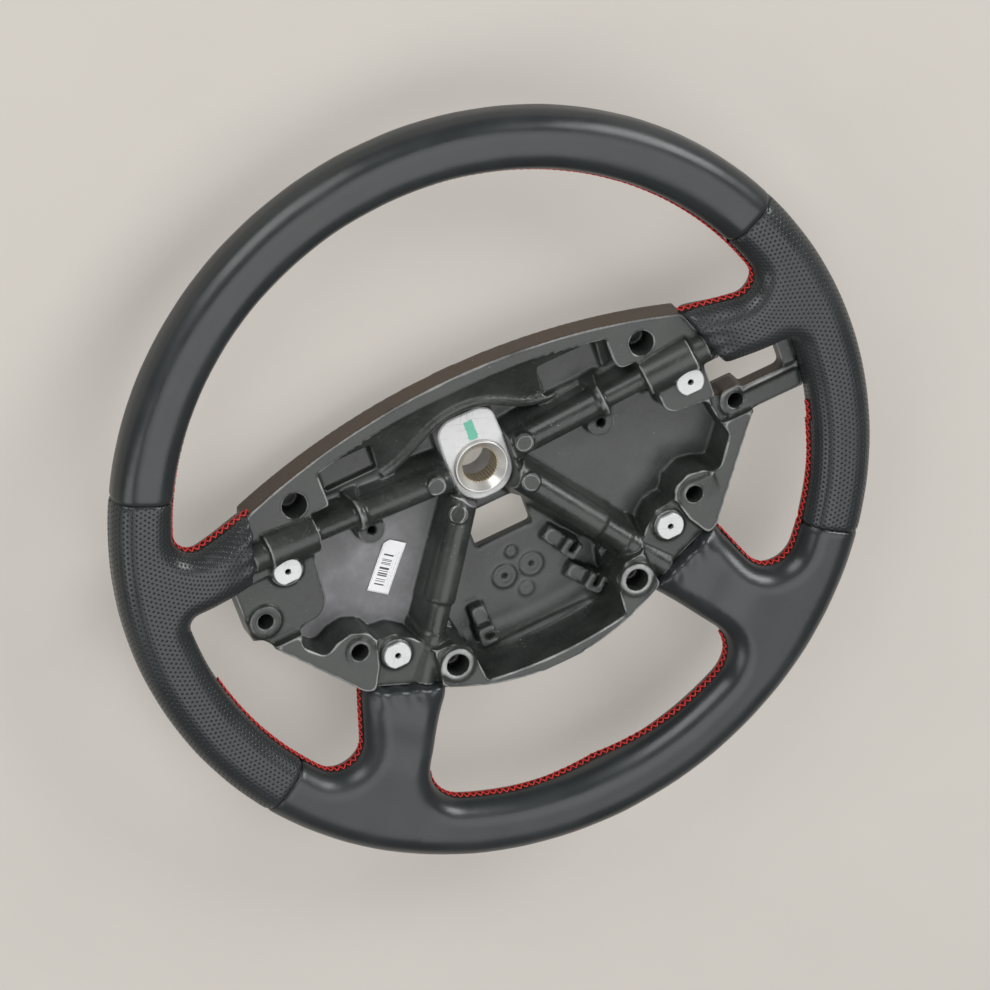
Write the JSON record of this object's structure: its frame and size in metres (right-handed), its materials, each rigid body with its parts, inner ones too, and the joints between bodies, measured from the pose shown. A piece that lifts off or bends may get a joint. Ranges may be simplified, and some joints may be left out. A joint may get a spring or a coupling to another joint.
{
  "type": "steering wheel",
  "caption": "Leather-covered car steering wheel with spokes running to an open moulded hub tub, a splined column boss and fixing pads for an airbag module, module removed.",
  "frame": {"origin": "on the steering column axis, at the flat back face that the wheel lies on", "axes": "+X towards three o'clock, +Y towards twelve o'clock, +Z along the column towards the driver"},
  "size_m": [0.38, 0.38, 0.0548],
  "materials": {
    "leather_smooth": "satin smooth hide",
    "leather_perforated": "satin hide with small holes",
    "thread": "red laced thread",
    "moulding": "black semi-gloss moulded skin, brown outside walls",
    "foam": "moulded foam",
    "hub_metal": "bare cast and faced",
    "bush_metal": "machined, light oil",
    "bar_metal": "black coat",
    "ring_metal": "plain",
    "pad_metal": "bright zinc",
    "label_paper": "white label"
  },
  "bodies": {
    "root": {"hub_boss": "hub_metal", "spline_bush": "bush_metal", "rim_ring": "ring_metal", "bar_upper_left": "bar_metal", "bar_upper_right": "bar_metal", "bar_lower_left": "bar_metal", "bar_lower_right": "bar_metal", "hub_tub": "moulding", "rim_core_upper": "foam", "rim_core_lower": "foam", "pad_upper_left": "pad_metal", "pad_upper_right": "pad_metal", "pad_lower_left": "pad_metal", "pad_lower_right": "pad_metal", "label": "label_paper", "leather_upper": "leather_smooth", "leather_lower": "leather_smooth", "leather_left": "leather_perforated", "leather_right": "leather_perforated", "stitch_upper": "thread", "stitch_left": "thread", "stitch_right": "thread", "stitch_lower": "thread"}
  },
  "joints": []
}
